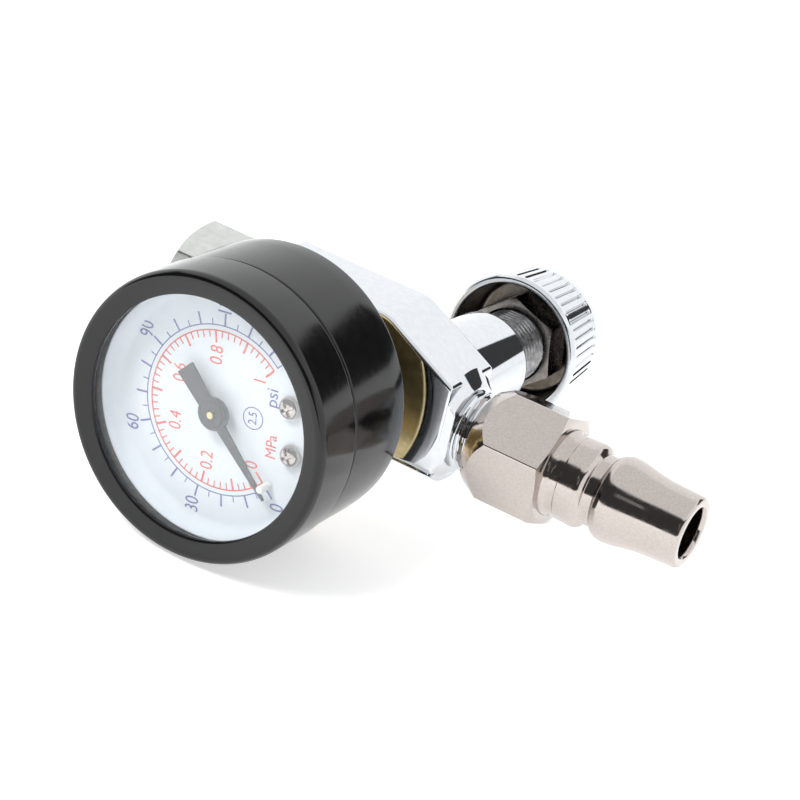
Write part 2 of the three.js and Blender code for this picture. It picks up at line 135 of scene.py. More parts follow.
def smooth(mesh, sharp=32):
    mesh.shade_smooth()
    mesh.set_sharp_from_angle(angle=math.radians(sharp))


def rounded(points, radius=0.25, steps=5, closed=False):
    """A profile with its corners rounded; a third number on a point is that corner's own radius."""
    made = []
    count = len(points)
    for i, point in enumerate(points):
        corner = Vector(point[:2])
        reach = point[2] if len(point) > 2 else radius
        if not closed and i in (0, count - 1):
            made.append(tuple(corner))
            continue
        before = Vector(points[i - 1][:2])
        after = Vector(points[(i + 1) % count][:2])
        reach = min(reach, 0.48 * (corner - before).length, 0.48 * (after - corner).length)
        if reach < 1e-4:
            made.append(tuple(corner))
            continue
        start = corner + (before - corner).normalized() * reach
        end = corner + (after - corner).normalized() * reach
        for step in range(steps + 1):
            t = step / steps
            made.append(tuple(start * (1 - t) ** 2 + corner * 2 * t * (1 - t) + end * t * t))
    return made


def grid(name, rows, closed_rows, sharp=32):
    """A surface through rows of points, each row a loop; a row of one point is a tip."""
    made = bmesh.new()
    rings = [[made.verts.new(point) for point in row] for row in rows]
    pairs = list(zip(rings, rings[1:] + rings[:1])) if closed_rows else list(zip(rings, rings[1:]))
    for first, second in pairs:
        count = max(len(first), len(second))
        for i in range(count):
            j = (i + 1) % count
            corners = [first[i % len(first)], first[j % len(first)],
                       second[j % len(second)], second[i % len(second)]]
            unique = list(dict.fromkeys(corners))
            if len(unique) > 2:
                made.faces.new(unique)
    return from_bmesh(name, made, sharp)


def turned(name, profile, axis="Y", centre=(0, 0), segments=160, relief=None, closed=False, sharp=32):
    """A profile of (radius, place along the axis) turned about an axis parallel to X or Y."""
    rows = []
    for radius, along in profile:
        row = []
        for i in range(segments if radius > 1e-6 else 1):
            turn = 2 * math.pi * i / segments
            reach = radius + (relief(radius, along, turn) if relief else 0)
            u, v = centre[0] + reach * math.cos(turn), centre[1] + reach * math.sin(turn)
            row.append(at(u, along, v) if axis == "Y" else at(along, u, v))
        rows.append(row)
    return grid(name, rows, closed, sharp)


def prism(name, outline, axis, start, end, centre=(0, 0), sharp=32):
    """A flat outline given thickness along X (outline in Y, Z) or along Y (outline in X, Z)."""
    rows = []
    for along in (start, end):
        if axis == "X":
            rows.append([at(along, centre[0] + u, centre[1] + v) for u, v in outline])
        else:
            rows.append([at(centre[0] + u, along, centre[1] + v) for u, v in outline])
    made = bmesh.new()
    rings = [[made.verts.new(point) for point in row] for row in rows]
    for i in range(len(outline)):
        j = (i + 1) % len(outline)
        made.faces.new((rings[0][i], rings[0][j], rings[1][j], rings[1][i]))
    made.faces.new(rings[0])
    made.faces.new(rings[1])
    return from_bmesh(name, made, sharp)


def combine(target, tool, operation, sharp=32):
    """Cuts or joins the target with a tool, which is used up."""
    modifier = target.modifiers.new("combine", "BOOLEAN")
    modifier.object = tool
    modifier.operation = operation
    modifier.solver = "EXACT"
    settled = target.evaluated_get(bpy.context.evaluated_depsgraph_get())
    mesh = bpy.data.meshes.new_from_object(settled)
    target.modifiers.clear()
    target.data = mesh
    bpy.data.objects.remove(tool)
    smooth(mesh, sharp)
    return target


def join(name, pieces):
    """One object holding the meshes of several, which are used up; its faces keep their materials."""
    slots = []
    made = bmesh.new()
    for piece in pieces:
        material = piece.data.materials[0] if piece.data.materials else None
        if material not in slots:
            slots.append(material)
        start = len(made.faces)
        made.from_mesh(piece.data)
        made.faces.ensure_lookup_table()
        for face in made.faces[start:]:
            face.material_index = slots.index(material)
        bpy.data.objects.remove(piece)
    mesh = bpy.data.meshes.new(name)
    made.to_mesh(mesh)
    made.free()
    for material in slots:
        if material:
            mesh.materials.append(material)
    return new_object(name, mesh)


def hexagon(across_flats, turn, corner_radius=0.35):
    """A hexagon with slightly rounded corners, its first corner at an angle in degrees."""
    corners = [polar(across_flats / math.sqrt(3), turn + 60 * i) for i in range(6)]
    return rounded(corners, corner_radius, 4, closed=True)


CRISP_EDGE = 11


def hex_bar(name, across_flats, turn, start, end, rims, axis, centre=(0, 0), bore=0):
    """A bored hexagonal bar; each rim (radius, length) cones an end down from the corners to the radius."""
    corner = across_flats / math.sqrt(3) + 0.2
    bar = prism(name, hexagon(across_flats, turn), axis, start - 1, end + 1, centre)
    (first, first_length), (last, last_length) = rims
    profile = rounded([(0, start), (first, start, 0.35), (corner, start + first_length, 0.8),
                       (corner, end - last_length, 0.3), (last, end, 0.3), (0, end)], 0.1, 6)
    bar = combine(bar, turned("cone", profile, axis, centre, 192), "INTERSECT", CRISP_EDGE)
    if bore:
        wall = [(0, start - 1), (bore, start - 1), (bore, end + 1), (0, end + 1)]
        bar = combine(bar, turned("hole", wall, axis, centre, 128), "DIFFERENCE", CRISP_EDGE)
    return bar


def thread(pitch, depth, start, end):
    """A relief for `turned`: a helical thread between two places, fading in and out over half a pitch."""
    def relief(radius, along, turn):
        phase = (along / pitch - turn / (2 * math.pi)) % 1
        ridge = abs(2 * phase - 1)
        fade = min(1, max(0, (along - start) / pitch * 2), max(0, (end - along) / pitch * 2))
        return -depth * min(1, ridge * 1.25) * fade
    return relief


def spaced(start, end, step):
    """Places from start to end at about the given step."""
    count = max(1, round((end - start) / step))
    return [start + (end - start) * i / count for i in range(count + 1)]


# ---- materials ----
class Nodes:
    """A small helper that adds nodes to one material."""

    def __init__(self, name):
        self.material = bpy.data.materials.new(name)
        self.material.use_nodes = True
        self.tree = self.material.node_tree
        self.shader = self.tree.nodes["Principled BSDF"]
        self.place = self.add("ShaderNodeTexCoord").outputs["Object"]

    def add(self, kind, **values):
        node = self.tree.nodes.new(kind)
        for key, value in values.items():
            setattr(node, key, value)
        return node

    def link(self, source, target):
        self.tree.links.new(source, target)

    def noise(self, scale, detail=3, stretch=None):
        """A noise value with features of about 1/scale metres, drawn out along an axis by a stretch."""
        place = self.place
        if stretch:
            mapping = self.add("ShaderNodeMapping")
            mapping.inputs["Scale"].default_value = stretch
            self.link(place, mapping.inputs["Vector"])
            place = mapping.outputs["Vector"]
        node = self.add("ShaderNodeTexNoise")
        node.inputs["Scale"].default_value = scale
        node.inputs["Detail"].default_value = detail
        self.link(place, node.inputs["Vector"])
        return node.outputs["Fac"]

    def ramp(self, source, low, high, start=0.3, end=0.7):
        """Maps a value onto a ramp between two numbers or two colours."""
        node = self.add("ShaderNodeValToRGB")
        first, last = node.color_ramp.elements
        first.position, last.position = start, end
        first.color = (low, low, low, 1) if isinstance(low, (int, float)) else (*low, 1)
        last.color = (high, high, high, 1) if isinstance(high, (int, float)) else (*high, 1)
        self.link(source, node.inputs["Fac"])
        return node.outputs["Color"]

    def bump(self, layers):
        """Stacks bumps given as (height source, strength, distance in millimetres)."""
        normal = None
        for height, strength, distance in layers:
            node = self.add("ShaderNodeBump")
            node.inputs["Strength"].default_value = strength
            node.inputs["Distance"].default_value = distance * MM
            self.link(height, node.inputs["Height"])
            if normal:
                self.link(normal, node.inputs["Normal"])
            normal = node.outputs["Normal"]
        self.link(normal, self.shader.inputs["Normal"])

    def colour(self, low, high, scale, detail=3, stretch=None):
        self.link(self.ramp(self.noise(scale, detail, stretch), low, high), self.shader.inputs["Base Color"])

    def roughness(self, low, high, scale, detail=3, stretch=None):
        self.link(self.ramp(self.noise(scale, detail, stretch), low, high), self.shader.inputs["Roughness"])


def metal(name, low, high, roughness, waves=(0.05, 0.02), grain=(0.05, 0.002), stretch=None, spots=900):
    """A metal: two base colours, a roughness range, slow waves and fine grain in its surface."""
    nodes = Nodes(name)
    nodes.shader.inputs["Metallic"].default_value = 1
    nodes.colour(low, high, spots)
    nodes.roughness(roughness[0], roughness[1], 700, 5, stretch)
    slow, fine = nodes.noise(260, 2), nodes.noise(5200, 2, stretch)
    nodes.bump([(slow, waves[0], waves[1]), (fine, grain[0], grain[1])])
    return nodes.material


def matt(name, low, high, roughness, grain=(0.2, 0.01), scale=2500):
    """A paint, print, plastic or rubber: two colours, a roughness range and a fine grain."""
    nodes = Nodes(name)
    nodes.colour(low, high, 500)
    nodes.roughness(roughness[0], roughness[1], 900, 4)
    nodes.bump([(nodes.noise(scale, 3), grain[0], grain[1])])
    return nodes.material


def glossy_paint():
    paint = matt("black_paint", (0.002, 0.002, 0.0024), (0.004, 0.004, 0.0045), (0.11, 0.17),
                 (0.05, 0.003), 2600)
    paint.node_tree.nodes["Principled BSDF"].inputs["IOR"].default_value = 1.48
    return paint


def clear_plastic():
    nodes = Nodes("clear_lens")
    nodes.colour((0.93, 0.96, 0.98), (0.97, 0.99, 1.0), 300)
    nodes.roughness(0.02, 0.05, 600)
    nodes.bump([(nodes.noise(120, 2), 0.02, 0.01)])
    nodes.shader.inputs["Alpha"].default_value = 0.1
    nodes.shader.inputs["IOR"].default_value = 1.49
    return nodes.material


CHROME = metal("chrome_plate", (0.60, 0.62, 0.645), (0.65, 0.67, 0.695), (0.02, 0.06),
               waves=(0.03, 0.02), grain=(0.03, 0.002))
NICKEL = metal("nickel_plate", (0.46, 0.415, 0.385), (0.53, 0.48, 0.45), (0.07, 0.16),
               waves=(0.02, 0.01), grain=(0.2, 0.004), spots=3200)
SATIN = metal("satin_steel", (0.56, 0.57, 0.55), (0.64, 0.65, 0.63), (0.30, 0.42),
              waves=(0.03, 0.02), grain=(0.3, 0.004), stretch=(0.12, 1, 1))
# A rougher plating whose darker colour is painted shade, used only inside the knob's cup.
CUP_SHADE_PLATE = metal("cup_plate_painted_shade", (0.20, 0.18, 0.165), (0.30, 0.275, 0.25), (0.3, 0.42),
                    waves=(0.08, 0.03), grain=(0.3, 0.01))
DARK_STEEL = metal("thread_steel", (0.20, 0.20, 0.21), (0.42, 0.42, 0.42), (0.22, 0.42),
                   waves=(0.1, 0.04), grain=(0.5, 0.02))
GREY_STEEL = metal("plain_steel", (0.20, 0.185, 0.17), (0.30, 0.28, 0.26), (0.2, 0.34),
                   waves=(0.05, 0.02), grain=(0.2, 0.004))
BRASS = metal("brass", (0.72, 0.56, 0.28), (0.84, 0.69, 0.38), (0.3, 0.42),
              waves=(0.05, 0.03), grain=(0.2, 0.004))
WIRE = metal("spring_wire", (0.42, 0.43, 0.45), (0.55, 0.56, 0.58), (0.25, 0.35),
             waves=(0.03, 0.02), grain=(0.2, 0.003))
BLACK_PAINT = glossy_paint()
DIAL_PAPER = matt("dial_white", (0.74, 0.80, 0.85), (0.79, 0.85, 0.89), (0.5, 0.6), (0.08, 0.004), 4000)
RED_INK = matt("red_ink", (0.72, 0.10, 0.07), (0.80, 0.16, 0.11), (0.45, 0.6), (0.15, 0.004), 5000)
BLUE_INK = matt("blue_ink", (0.10, 0.11, 0.36), (0.15, 0.16, 0.44), (0.45, 0.6), (0.15, 0.004), 5000)
POINTER_PAINT = matt("pointer_paint", (0.022, 0.024, 0.028), (0.04, 0.042, 0.047), (0.3, 0.42),
                     (0.2, 0.004), 4200)
RUBBER = matt("black_rubber", (0.012, 0.012, 0.012), (0.03, 0.03, 0.03), (0.6, 0.8), (0.3, 0.01))
SLEEVE = matt("white_sleeve", (0.80, 0.80, 0.78), (0.88, 0.88, 0.86), (0.3, 0.45), (0.1, 0.004))
LENS = clear_plastic()


def dress(piece, material, body, slot, *nodes):
    """Gives a piece its material unless it has its own, and its body, and hides the CAD nodes it replaces;
    the slot is not used.
    """
    if not piece.data.materials:
        piece.data.materials.append(material)
    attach(piece, body)
    if nodes:
        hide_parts(*nodes)
    return piece


# ---- body ----
def top_at(x):
    """Height of the body's top face along X: flat, then a bend of one radius, then the slope."""
    start_x, start_z = SLOPE_START
    angle = math.atan(-SLOPE)
    bend_end = BEND_X + BEND_RADIUS * math.sin(angle)
    if x <= BEND_X:
        return BODY_TOP
    if x < bend_end:
        return BODY_TOP - BEND_RADIUS + math.sqrt(BEND_RADIUS ** 2 - (x - BEND_X) ** 2)
    bend_z = BODY_TOP - BEND_RADIUS * (1 - math.cos(angle))
    end_z = start_z + SLOPE * (BODY_RIGHT - start_x)
    return bend_z + (x - bend_end) * (end_z - bend_z) / (BODY_RIGHT - bend_end)


def body_section(x, inset, edge):
    """The body's outline in Y and Z at a place along X: flat sides, a flat top and a round underside."""
    half, radius, top = BODY_HALF - inset, BODY_ROUND - inset, top_at(x) - inset
    low = -math.sqrt(radius ** 2 - half ** 2)
    sweep = math.degrees(math.atan2(half, -low))
    underside = [polar(radius, 270 - sweep + 2 * sweep * i / 24) for i in range(1, 24)]
    corners = [(half, low, edge), (half, top, edge), (-half, top, edge), (-half, low, edge)]
    outline = rounded(corners, edge, 6, closed=True)
    return outline + [(y, z, 0) for y, z in underside]


def body_block():
    """The flat-sided block, its two ends rounded off into faces that meet in a middle point."""
    edge, end_edge = 0.8, 0.45
    left_turns = [math.pi / 2 * i / 6 for i in range(6)]
    right_turns = [math.pi / 2 * i / 5 for i in range(1, 6)]
    places = [(BODY_LEFT + edge * (1 - math.cos(t)), edge * (1 - math.sin(t))) for t in left_turns]
    places += [(x, 0) for x in spaced(BODY_LEFT + edge, BEND_X, 1.5)]
    places += [(x, 0) for x in spaced(BEND_X + 0.2, BEND_X + 3, 0.2)]
    places += [(x, 0) for x in spaced(BEND_X + 3.4, BODY_RIGHT - 0.5, 1.2)]
    places += [(BODY_RIGHT - end_edge * (1 - math.sin(t)), end_edge * (1 - math.cos(t)))
               for t in right_turns]
    rows = [[at(BODY_LEFT, 0, 2)]]
    for x, inset in places:
        rows.append([at(x, point[0], point[1]) for point in body_section(x, inset, edge)])
    rows.append([at(BODY_RIGHT, 0, 0)])
    return grid("body_block", rows, False, 30)


def flattened_circle(radius, half, steps=96):
    """Points of a circle in Y and Z with its two sides cut flat."""
    points = [polar(radius, 360 * (i + 0.5) / steps) for i in range(steps)]
    return [(max(-half, min(half, y)), z) for y, z in points]


def body_shoulder():
    """The turned-down end between the block and the spigot, starting a little inside the block."""
    start_x, start_radius, start_half = BODY_RIGHT - 0.7, BODY_ROUND - 0.05, BODY_HALF - 0.05
    rows = []
    for t, drop in [(0, 0), (0.25, 0), (0.5, 0), (0.75, 0), (0.95, 0), (0.985, 0.06), (1, 0.25)]:
        x = start_x + (SHOULDER_END - start_x) * t
        radius = start_radius + (SHOULDER_RADIUS - start_radius) * t - drop
        half = start_half + (SHOULDER_HALF - start_half) * t - drop
        rows.append([at(x, y, z) for y, z in flattened_circle(radius, half)])
    rows.append([at(SHOULDER_END, 0, 0)])
    return grid("body_shoulder", rows, False, 30)


def body_spigot():
    """The threaded end that the plug is screwed onto."""
    start, end = SHOULDER_END + 0.5, SPIGOT_END
    neck = [(6.05, SHOULDER_END - 0.5), (6.05, start - 0.2, 0.1), (SPIGOT_RADIUS, start)]
    profile = rounded(neck, 0.2) + [(SPIGOT_RADIUS, x) for x in spaced(start + 0.1, end - 0.6, 0.12)]
    profile += [(5.7, end), (0, end)]
    relief = thread(PIPE_PITCH, 0.62, start, end - 0.6)
    return turned("body_spigot", profile, "X", (0, 0), 160, relief, sharp=50)


def build_body():
    piece = join("body_shell", [body_block(), body_shoulder(), body_spigot()])
    dress(piece, CHROME, "housing", "chrome", "body")


# ---- bonnet ----
def build_bonnet():
    """The plated neck on the body's rear and the dark thread beyond it."""
    centre = (KNOB_X, 0)
    profile = rounded([(5.5, 6.3), (BONNET_RADIUS - 0.1, 6.3, 0), (BONNET_RADIUS - 0.1, 6.75, 0),
                       (BONNET_RADIUS, 6.9, 0.1), (BONNET_RADIUS, BONNET_END - 1.1, 0.35),
                       (BONNET_RADIUS - 1.0, BONNET_END, 0.3), (5.6, BONNET_END)], 0.2)
    dress(turned("bonnet_neck", profile, "Y", centre), CHROME, "housing", "chrome", "bonnet")
    start, end = BONNET_END - 0.2, THREAD_END
    outside = [(THREAD_RADIUS, y) for y in spaced(start, end - 0.7, 0.1)]
    inside = [(THREAD_RADIUS - 0.6, end), (5.2, end), (5.2, 28)]
    ridges = thread(FINE_PITCH, 0.5, start - 1, end - 0.5)

    def relief(radius, along, turn):
        return ridges(radius, along, turn) if radius > THREAD_RADIUS - 0.1 else 0

    piece = turned("bonnet_thread", outside + inside, "Y", centre, 144, relief, sharp=60)
    dress(piece, DARK_STEEL, "housing", "chrome")


# ---- knob ----
def spline_relief(radius, along, turn):
    """Narrow straight grooves round the knob's side, running out before each end."""
    start, end = KNOB_FRONT + 1.6, KNOB_REAR - 1.9
    if not (start < along < end) or radius < KNOB_REAR_RADIUS - 0.6:
        return 0
    phase = (turn * SPLINES / (2 * math.pi)) % 1
    groove = max(0, 1 - abs(phase - 0.5) / SPLINE_SHARE)
    fade = min(1, (along - start) / 0.5, (end - along) / 0.5)
    return -SPLINE_DEPTH * groove ** 0.5 * fade


def paint_cup_shade(knob):
    """Gives the faces of the knob's cup a rougher plating than its outside, its darker colour painted shade
    in the cup's hollow.
    """
    knob.data.materials.append(CHROME)
    knob.data.materials.append(CUP_SHADE_PLATE)
    axis = at(KNOB_X, 0, 0)
    for face in knob.data.polygons:
        reach = math.hypot(face.center.x - axis.x, face.center.z - axis.z) / MM
        along = (face.center.y - axis.y) / MM
        if reach < CUP_RADIUS and KNOB_FRONT + 0.4 < along < CUP_FLOOR:
            face.material_index = 1


def build_knob():
    """The splined knob, a cup open towards the body, and the hexagon insert on its thread."""
    taper = (KNOB_REAR_RADIUS - KNOB_FRONT_RADIUS) / (KNOB_REAR - KNOB_FRONT)
    side = [(KNOB_FRONT_RADIUS + taper * (y - KNOB_FRONT), y)
            for y in spaced(KNOB_FRONT + 0.9, KNOB_REAR - 1.4, 0.12)]
    rim = [(0, 41), (9.9, 41, 0.8), (10.6, KNOB_FRONT + 0.6, 0.4), (10.95, KNOB_FRONT, 0.35),
           (KNOB_FRONT_RADIUS - 0.35, KNOB_FRONT, 0.45), (KNOB_FRONT_RADIUS, KNOB_FRONT + 0.8)]
    back = [(KNOB_REAR_RADIUS + 0.1, KNOB_REAR - 1.35), (KNOB_REAR_RADIUS, KNOB_REAR - 0.2, 1.2),
            (8.2, KNOB_REAR, 0.6), (7.6, KNOB_REAR - 0.25, 0.3), (0, KNOB_REAR - 0.25)]
    profile = rounded(rim, 0.3) + side + rounded(back, 0.4, 8)
    piece = turned("knob_shell", profile, "Y", (KNOB_X, 0), SPLINES * 14, spline_relief, sharp=40)
    # The cup's inside gets the darker plating: painted shade in its hollow.
    paint_cup_shade(piece)
    dress(piece, CHROME, "knob", "chrome", "knob")
    rims = ((7, 0.5), (8.4, 0.1))
    insert = hex_bar("knob_hex_insert", INSERT_HEX, INSERT_TURN, INSERT_START, INSERT_END, rims, "Y",
                     (KNOB_X, 0), INSERT_BORE)
    dress(insert, GREY_STEEL, "knob", "steel", "knob_insert")


# ---- plug ----
def build_plug():
    """The plug: a hexagon, and a hollow nose with a locking groove and a waisted tip."""
    end, tip, bore = PLUG_END, PLUG_TIP, PLUG_BORE
    rims = ((7.5, 4.3), (8.3, 0.5))
    hexagonal = hex_bar("plug_hex", PLUG_HEX, PLUG_TURN, PLUG_START, end, rims, "X", bore=bore)
    profile = rounded([
        (bore, 33), (bore, tip - 0.5, 0.3), (bore + 0.3, tip, 0.2), (5.4, tip, 0.3), (5.75, tip - 0.5, 0.4),
        (5.86, end + 19, 3), (5.95, end + 16.4, 3), (6.25, end + 14.2, 2), (6.72, end + 12, 1.5),
        (6.88, end + 10.6, 1), (6.86, end + 9.5, 0.8), (6.45, end + 8.5, 0.6), (6.1, end + 8.15, 0.15),
        (5.72, end + 8.0, 0.25), (5.68, end + 6.4, 0.25), (6.0, end + 6.15, 0.2), (6.55, end + 5.65, 0.4),
        (6.78, end + 5.0, 0.5), (6.72, end + 2.4, 0.1), (6.66, end + 2.2, 0.05), (6.66, end + 1.0, 0.3),
        (7.0, end + 0.3, 0.3), (7.1, end - 0.6),
    ], 0.25, 8)
    nose = turned("plug_nose", profile, "X", (0, 0), 192, sharp=45)
    dress(join("plug_shell", [hexagonal, nose]), NICKEL, "housing", "nickel", "quick_plug")


# ---- swivel nut ----
def build_nut():
    """The swivel nut, with its inner thread."""
    centre = (0, NUT_Z)
    rims = ((8.3, 1.1), (8.3, 1.1))
    outside = hex_bar("nut_hex", NUT_HEX, NUT_TURN, NUT_MOUTH, NUT_END, rims, "X", centre)
    wall = rounded([(0, NUT_MOUTH - 1), (NUT_BORE + 0.5, NUT_MOUTH - 1), (NUT_BORE + 0.5, NUT_MOUTH + 0.2),
                    (NUT_BORE, NUT_MOUTH + 0.8), (NUT_BORE, NUT_END - 4), (5.2, NUT_END - 4),
                    (5.2, NUT_END + 1), (0, NUT_END + 1)], 0.05)
    outside = combine(outside, turned("room", wall, "X", centre, 160), "DIFFERENCE")
    start, end = NUT_MOUTH + 0.7, NUT_END - 5
    relief = thread(PIPE_PITCH, 0.6, start, end)
    inner = [(NUT_BORE + 0.02, x) for x in spaced(start, end, 0.12)]
    lining = turned("nut_thread", inner, "X", centre, 144, relief, sharp=50)
    for polygon in lining.data.polygons:
        polygon.flip()
    dress(join("nut_shell", [outside, lining]), SATIN, "nut", "satin", "swivel_nut")


def build_nipple():
    """The brass tube that the nut turns on, with the seat that the gun's end is pulled against."""
    low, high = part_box("swivel_nipple")
    start = (low[0] - ORIGIN.x) / MM
    end = (high[0] - ORIGIN.x) / MM
    profile = rounded([(2.6, end), (2.6, start + 0.4, 0.2), (2.9, start, 0.1), (3.6, start, 0.2),
                       (5, start + 1.4, 0.2), (6.4, start + 1.4, 0.3), (6.4, start + 3.4, 0.3),
                       (4.7, start + 3.4, 0.2), (4.7, end)], 0.2)
    piece = turned("nipple_tube", profile, "X", (0, NUT_Z), 128)
    dress(piece, BRASS, "housing", "brass", "swivel_nipple")


# ---- gauge ----
def build_gauge_case():
    """The painted cup, with a step at its front that the bezel is pushed over."""
    rear, seam = CASE_REAR, CASE_SEAM
    profile = rounded([(4.8, rear - 1.1), (4.8, rear, 0.2), (21.0, rear, 0.3), (22.05, rear - 0.3, 0.8),
                       (CASE_RADIUS, -14, 1.0), (CASE_RADIUS, seam + 0.4, 0.25),
                       (21.7, seam + 0.05, 0.1), (21, seam, 0.05),
                       (21, -29, 0.1), (20.2, -29, 0.2), (20.2, -12, 0.5)], 0.2, 6, closed=True)
    piece = turned("case_shell", profile, "Y", segments=224, closed=True)
    dress(piece, BLACK_PAINT, "housing", "paint", "gauge_case")


def build_back_plate():
    """The brass plate that closes the gauge behind, reflected in the body's front."""
    front, rear, radius = -10.8, -10.1, BACK_PLATE_RADIUS
    profile = rounded([(9, front, 0.1), (radius, front, 0.1), (radius, rear - 0.1, 0.3),
                       (radius - 0.4, rear, 0.3), (9, rear, 0.1)], 0.1, 5, closed=True)
    dress(turned("back_plate_disc", profile, "Y", segments=192, closed=True), BRASS, "housing", "brass",
          "gauge_back_plate")


def build_bezel():
    """The ring that holds the lens, its front sloping shallowly in to the opening."""
    rear, front, opening = CASE_SEAM - 0.2, BEZEL_FRONT, BEZEL_OPENING
    profile = rounded([(21.3, rear, 0.1), (22.2, rear, 0.2), (BEZEL_RADIUS, rear - 0.3, 0.2),
                       (BEZEL_RADIUS - 0.05, front + 1, 0.6), (22.05, front + 0.2, 0.5), (21.4, front, 0.5),
                       (19.3, front + 0.45, 0.3), (opening + 0.1, front + 0.6, 0.25),
                       (opening, front + 1, 0.15), (opening + 0.1, front + 1.6, 0.1),
                       (21.3, front + 1.6, 0.1)], 0.2, 6, closed=True)
    piece = turned("bezel_ring", profile, "Y", segments=224, closed=True)
    dress(piece, BLACK_PAINT, "housing", "paint", "gauge_bezel")


def build_lens():
    radius, front, rear = 20.9, -33, -31.6
    profile = rounded([(0, rear), (radius, rear, 0.2), (radius, front, 0.2), (0, front)], 0.2)
    dress(turned("lens_disc", profile, "Y", segments=192), LENS, "housing", "clear", "gauge_lens")


def build_dial_plate():
    """A printed dish: flat in the middle, its edge curving up to the glass."""
    front, rim, radius = DIAL_FRONT, DIAL_RIM, DIAL_RADIUS
    profile = rounded([(0.9, front + 0.5), (radius - 0.7, front + 0.5, 1), (radius, front - 0.6, 1),
                       (radius, rim, 0.1), (radius - 0.25, rim, 0.1), (radius - 0.45, front - 1.2, 1.2),
                       (radius - 1.4, front, 1.2), (0.9, front, 0.05)], 0.1, 10, closed=True)
    piece = turned("dial_plate", profile, "Y", DIAL_CENTRE, 192, closed=True)
    dress(piece, DIAL_PAPER, "housing", "dial_face", "dial")


def mpa_angle(value):
    return ZERO_ANGLE - DEGREES_PER_MPA * value


def psi_angle(value):
    return mpa_angle(value / PSI_PER_MPA)


def on_dial(x, z, height):
    """A place over the dial's face, from the dial's own centre."""
    return at(DIAL_CENTRE[0] + x, DIAL_FRONT - height, DIAL_CENTRE[1] + z)


class Print:
    """Flat marks printed on the dial in one ink, with a little thickness."""

    def __init__(self):
        self.mesh = bmesh.new()

    def patch(self, corners):
        front = [self.mesh.verts.new(on_dial(x, z, 0.03)) for x, z in corners]
        back = [self.mesh.verts.new(on_dial(x, z, -0.02)) for x, z in corners]
        self.mesh.faces.new(front)
        for i in range(len(corners)):
            j = (i + 1) % len(corners)
            self.mesh.faces.new((front[i], front[j], back[j], back[i]))

    def tick(self, angle, inner, outer, width):
        (x0, z0), (x1, z1) = polar(inner, angle), polar(outer, angle)
        sx, sz = polar(width / 2, angle + 90)
        self.patch([(x0 + sx, z0 + sz), (x1 + sx, z1 + sz), (x1 - sx, z1 - sz), (x0 - sx, z0 - sz)])

    def band(self, radius, width, start, end, centre=(0, 0), steps=180):
        for i in range(steps):
            first = start + (end - start) * i / steps
            last = start + (end - start) * (i + 1) / steps
            corners = [polar(radius + width / 2, first), polar(radius + width / 2, last),
                       polar(radius - width / 2, last), polar(radius - width / 2, first)]
            self.patch([(centre[0] + x, centre[1] + z) for x, z in corners])

    def finish(self, name):
        return from_bmesh(name, self.mesh)


READING_TURN = 98


def lettering(text, radius, angle, size, narrow=0.8):
    """Characters on the dial, upright for the dial's own reading direction, centred on a place on it."""
    curve = bpy.data.curves.new("text", "FONT")
    curve.body = text
    curve.size = size * MM
    curve.extrude = 0.02 * MM
    curve.align_x = "CENTER"
    curve.align_y = "CENTER"
    holder = bpy.data.objects.new("text", curve)
    bpy.context.scene.collection.objects.link(holder)
    mesh = bpy.data.meshes.new_from_object(holder.evaluated_get(bpy.context.evaluated_depsgraph_get()))
    bpy.data.objects.remove(holder)
    turn = math.radians(READING_TURN)
    right = Vector((math.cos(turn), 0, math.sin(turn)))
    up = Vector((-math.sin(turn), 0, math.cos(turn)))
    x, z = polar(radius, angle)
    place = Matrix.Translation(on_dial(x, z, 0.02))
    axes = Matrix((right, up, right.cross(up))).transposed().to_4x4()
    mesh.transform(place @ axes @ Matrix.Diagonal((narrow, 1, 1, 1)))
    mesh.materials.clear()
    return new_object("text", mesh)


def build_dial_print():
    """The two scales with their numbers and unit names, and the accuracy class in its ring."""
    red, blue = Print(), Print()
    red.band(RED_RING, 0.22, mpa_angle(1), mpa_angle(0))
    for step in range(51):
        major = step % 5 == 0
        red.tick(mpa_angle(step / 50), 10.5 if major else 11.3, 12.4, 0.34 if major else 0.2)
    blue.band(BLUE_RING, 0.18, mpa_angle(1), mpa_angle(0))
    for step in range(30):
        major = step % 2 == 0
        blue.tick(psi_angle(step * 5), 13.2, 15.2 if major else 14.2, 0.3 if major else 0.17)
    class_radius, class_angle = 5.85, 12.5
    blue.band(1.7, 0.16, 0, 360, polar(class_radius, class_angle), 48)
    red_parts = [red.finish("red_marks")]
    for value in ("0", "0.2", "0.4", "0.6", "0.8", "1"):
        inward = 9.3 if value in ("0", "1") else 8.6
        red_parts.append(lettering(value, inward, mpa_angle(float(value)), 3.15, 0.78))
    red_parts.append(lettering("MPa", 9.9, -10, 2.6, 0.85))
    blue_parts = [blue.finish("blue_marks")]
    for value in ("0", "30", "60", "90", "120"):
        blue_parts.append(lettering(value, 16.7, psi_angle(float(value)), 3.4, 0.75))
    blue_parts.append(lettering("psi", 10.0, 35, 2.9, 0.95))
    blue_parts.append(lettering("2.5", class_radius, class_angle, 2.1))
    dress(join("dial_print_red", red_parts), RED_INK, "housing", "dial_face")
    dress(join("dial_print_blue", blue_parts), BLUE_INK, "housing", "dial_face")


def build_dial_screws():
    """The two cross-slotted screws that hold the dial."""
    for number in (1, 2):
        node = f"dial_screw_{number}"
        place = (middle(node) - ORIGIN) / MM
        centre = (place.x + 0.5, place.z)
        seat = DIAL_FRONT - 0.3
        profile = rounded([(0, seat - 1.1), (0.9, seat - 1.06, 0.3), (1.55, seat - 0.7, 0.3),
                           (1.75, seat - 0.15, 0.1), (1.75, seat, 0.05), (0.7, seat, 0.05),
                           (0.7, seat + 2.6), (0, seat + 2.6)], 0.1)
        head = turned(f"screw_head_{number}", profile, "Y", centre, 72)
        for turn in (35, 125):
            slot = prism("slot", rectangle(2.3, 0.5, turn), "Y", seat - 1.6, seat - 0.5, centre)
            head = combine(head, slot, "DIFFERENCE")
        dress(head, NICKEL, "housing", "nickel", node)


